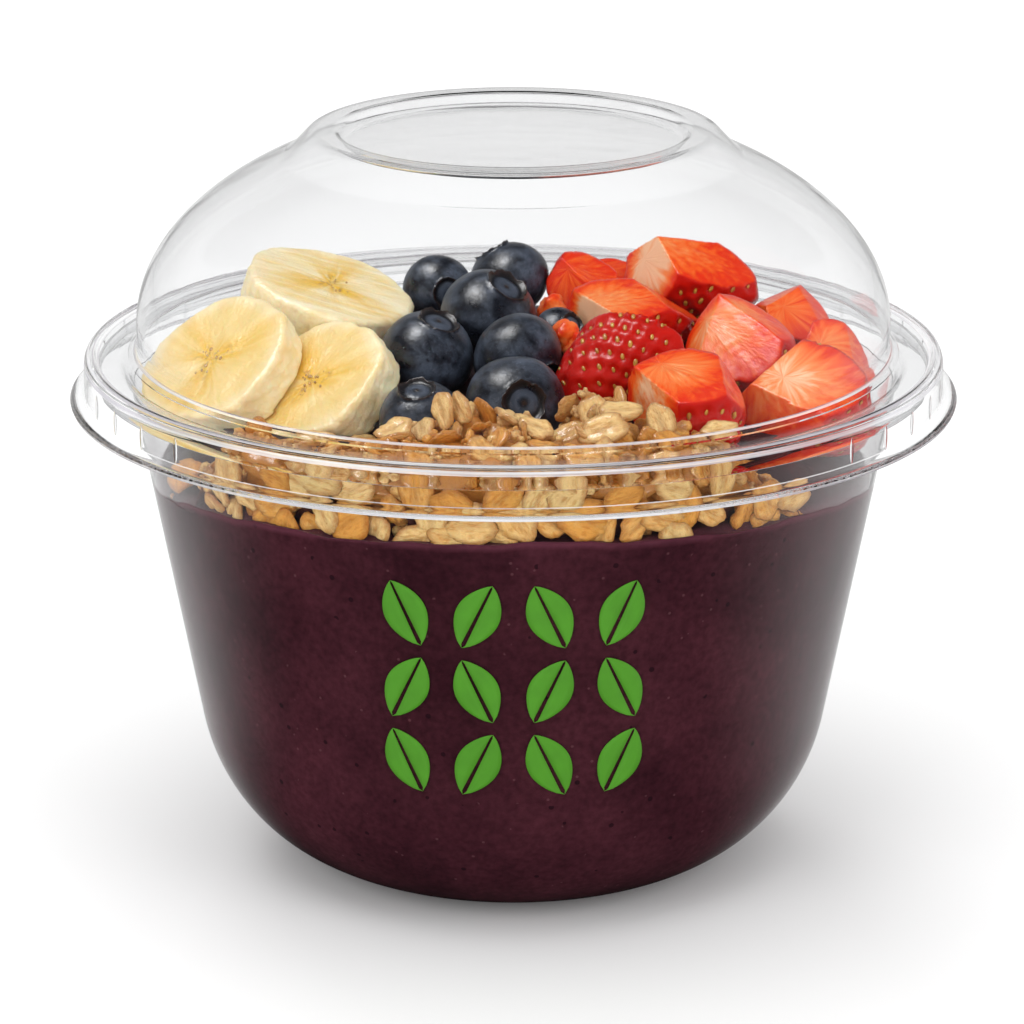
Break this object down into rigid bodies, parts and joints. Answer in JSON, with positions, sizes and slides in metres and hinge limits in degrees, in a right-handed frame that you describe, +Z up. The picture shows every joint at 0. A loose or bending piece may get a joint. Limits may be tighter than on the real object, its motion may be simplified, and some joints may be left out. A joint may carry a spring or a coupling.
{
  "type": "acai bowl",
  "caption": "Clear plastic takeaway bowl filled with thick purple acai, topped with banana slices, blueberries, cut strawberries and granola, under a clear dome lid.",
  "frame": {"origin": "middle of the bowl's flat base", "axes": "+Z up along the bowl's axis, -Y the front, where the granola lies against the wall"},
  "size_m": [0.15, 0.15, 0.1268],
  "materials": {
    "clear_plastic": "thin clear thermoformed plastic, glossy",
    "acai": "thick, smooth dark purple fruit blend, slightly moist",
    "granola": "toasted oat clusters with a thin sugar glaze",
    "banana": "moist cream flesh with a yellow star and small brown seeds",
    "blueberry": "dark blue skin with a pale bloom",
    "strawberry": "wet red skin with yellow seeds, cut faces from pale to orange red"
  },
  "bodies": {
    "root": {"bowl": "clear_plastic", "lid": "clear_plastic", "acai": "acai", "granola": "granola", "banana_slice_1": "banana", "banana_slice_2": "banana", "banana_slice_3": "banana", "blueberry_1": "blueberry", "blueberry_2": "blueberry", "blueberry_3": "blueberry", "blueberry_4": "blueberry", "blueberry_5": "blueberry", "blueberry_6": "blueberry", "blueberry_7": "blueberry", "blueberry_8": "blueberry", "strawberry_1": "strawberry", "strawberry_2": "strawberry", "strawberry_3": "strawberry", "strawberry_4": "strawberry", "strawberry_5": "strawberry", "strawberry_6": "strawberry", "strawberry_7": "strawberry", "strawberry_8": "strawberry", "strawberry_9": "strawberry", "strawberry_10": "strawberry"}
  },
  "joints": []
}
